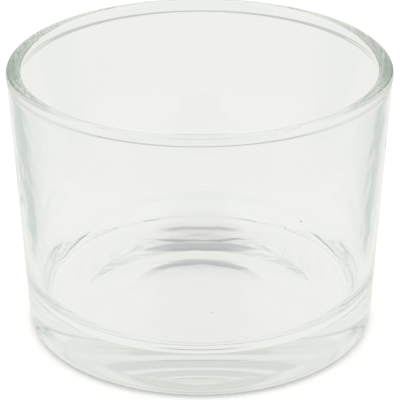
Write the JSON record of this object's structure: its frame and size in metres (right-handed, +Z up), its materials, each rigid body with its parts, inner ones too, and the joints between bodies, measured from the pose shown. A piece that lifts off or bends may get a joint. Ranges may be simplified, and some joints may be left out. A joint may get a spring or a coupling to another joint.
{
  "type": "candle vessel",
  "caption": "Low round candle vessel of clear pressed glass: straight tapered wall, fire-polished beaded rim, slightly dished inner floor with a rounded corner, heavy base with a shallow dome under it.",
  "frame": {"origin": "centre of the foot, on the plane that the vessel stands on", "axes": "+Z up along the vessel's axis, out of the mouth; the vessel is round, so X and Y are any two level directions"},
  "size_m": [0.082, 0.082, 0.06],
  "materials": {
    "clear_glass": "polished clear glass with a faint green cast"
  },
  "bodies": {
    "root": {"glass_vessel": "clear_glass"}
  },
  "joints": []
}
